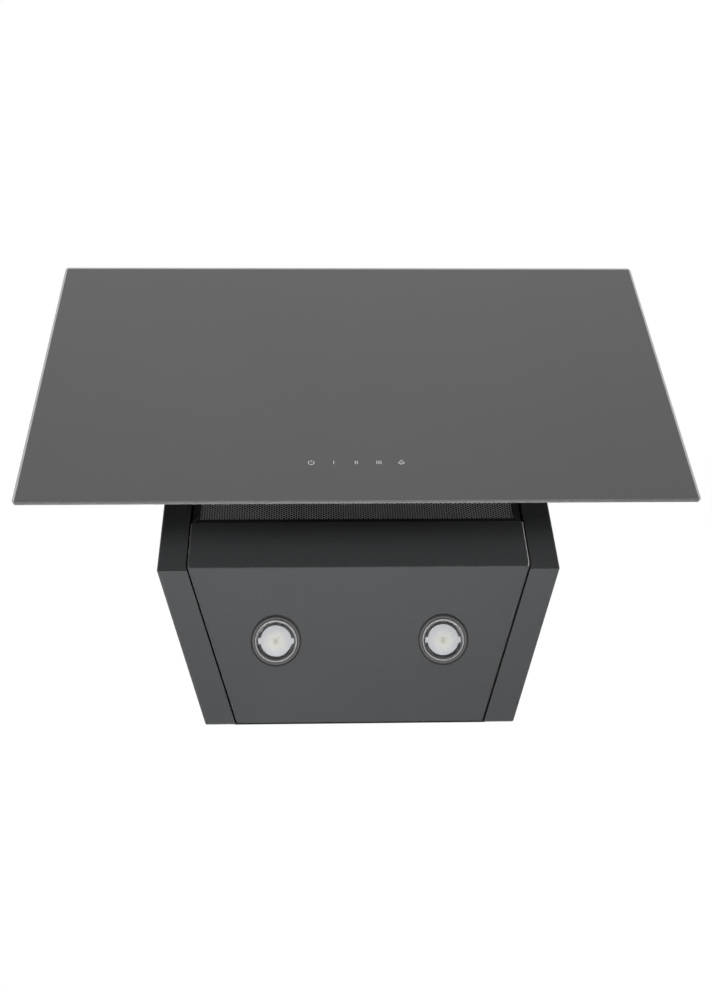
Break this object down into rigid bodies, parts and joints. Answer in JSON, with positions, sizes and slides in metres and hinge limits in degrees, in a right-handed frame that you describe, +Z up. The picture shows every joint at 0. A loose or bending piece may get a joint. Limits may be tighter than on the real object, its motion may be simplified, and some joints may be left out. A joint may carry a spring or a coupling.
{
  "type": "angled range hood",
  "caption": "Wall-mounted angled range hood: tapered steel casing with lamps underneath, a sloping filter and a tilting glass front that draws air round its edges.",
  "frame": {"origin": "centre of the rectangle of wall screw holes, on the wall plane", "axes": "+Z up, +Y into the wall, +X to the right of someone facing the hood"},
  "size_m": [0.6, 0.4415, 0.3713],
  "materials": {
    "casing_steel": "fine-textured anthracite powder coat, satin",
    "back_steel": "smooth black coat, dull",
    "inner_steel": "galvanised sheet, dull",
    "grey_glass": "tempered glass, painted grey on the back, polished edges",
    "hinge_steel": "black zinc",
    "bright_steel": "zinc plated",
    "nickel": "nickel plated",
    "filter_rim": "black, satin",
    "filter_aluminium": "rolled and perforated, satin",
    "lamp_clear": "clear polycarbonate",
    "lamp_white": "opal diffuser",
    "lamp_black": "moulded",
    "board": "solder mask",
    "black_plastic": "moulded, fine grain",
    "touch_foam": "conductive foam",
    "motor_metal": "painted",
    "capacitor_can": "satin"
  },
  "bodies": {
    "casing": {"side_shell_left": "casing_steel", "side_shell_right": "casing_steel", "lamp_panel": "casing_steel", "header_rail": "casing_steel", "roof_cover": "casing_steel", "back_plate": "back_steel", "scroll_side_left": "inner_steel", "scroll_side_right": "inner_steel", "scroll_wrap": "inner_steel", "outlet_flange": "inner_steel", "hinge_bracket_left": "hinge_steel", "hinge_bracket_right": "hinge_steel", "motor_spider": "hinge_steel", "hinge_pin_left": "bright_steel", "hinge_pin_right": "bright_steel", "flap_pin": "bright_steel", "tray_screws": "bright_steel", "back_rivets": "bright_steel", "roof_screws": "bright_steel", "hinge_screws": "bright_steel", "collar_screws": "bright_steel", "spider_screws": "bright_steel", "lamp_clips": "bright_steel", "catch_magnets": "nickel", "filter_magnets": "nickel", "lamp_bezel_left": "lamp_clear", "lamp_bezel_right": "lamp_clear", "lamp_diffuser_left": "lamp_white", "lamp_diffuser_right": "lamp_white", "lamp_can_left": "lamp_black", "lamp_can_right": "lamp_black", "led_board_left": "board", "led_board_right": "board", "control_board": "board", "outlet_collar": "black_plastic", "catch_posts": "black_plastic", "electronics_box": "black_plastic", "electronics_cover": "black_plastic", "cable_gland": "black_plastic", "gland_nut": "black_plastic", "motor_can": "motor_metal", "capacitor": "capacitor_can"},
    "glass_front": {"glass_panel": "grey_glass", "glass_carrier": "inner_steel", "touch_housing": "black_plastic", "touch_board": "board", "touch_pads": "touch_foam", "hinge_arm_left": "hinge_steel", "hinge_arm_right": "hinge_steel", "strike_plates": "hinge_steel"},
    "filter": {"filter_frame": "filter_rim", "filter_mesh_front": "filter_aluminium", "filter_core": "filter_aluminium", "filter_mesh_back": "filter_aluminium", "filter_pull": "filter_rim"},
    "fan": {"impeller": "black_plastic", "motor_shaft": "bright_steel"},
    "front_flap": {"flap_front": "black_plastic"},
    "rear_flap": {"flap_rear": "black_plastic"}
  },
  "joints": [
    {"name": "glass_swing", "type": "hinge", "parent": "casing", "child": "glass_front", "pos_m": [0, -0.38249, 0.0592], "axis": [-1, 0, 0], "range_deg": [0, 80]},
    {"name": "filter_tilt", "type": "hinge", "parent": "casing", "child": "filter", "pos_m": [0, -0.17318, -0.10909], "axis": [1, 0, 0], "range_deg": [0, 10]},
    {"name": "fan_spin", "type": "hinge", "parent": "casing", "child": "fan", "pos_m": [0, -0.098, 0.026], "axis": [-1, 0, 0], "continuous": true},
    {"name": "front_flap_swing", "type": "hinge", "parent": "casing", "child": "front_flap", "pos_m": [0, -0.18125, 0.157], "axis": [-1, 0, 0], "range_deg": [0, 80]},
    {"name": "rear_flap_swing", "type": "hinge", "parent": "casing", "child": "rear_flap", "pos_m": [0, -0.18125, 0.157], "axis": [1, 0, 0], "range_deg": [0, 80]}
  ]
}
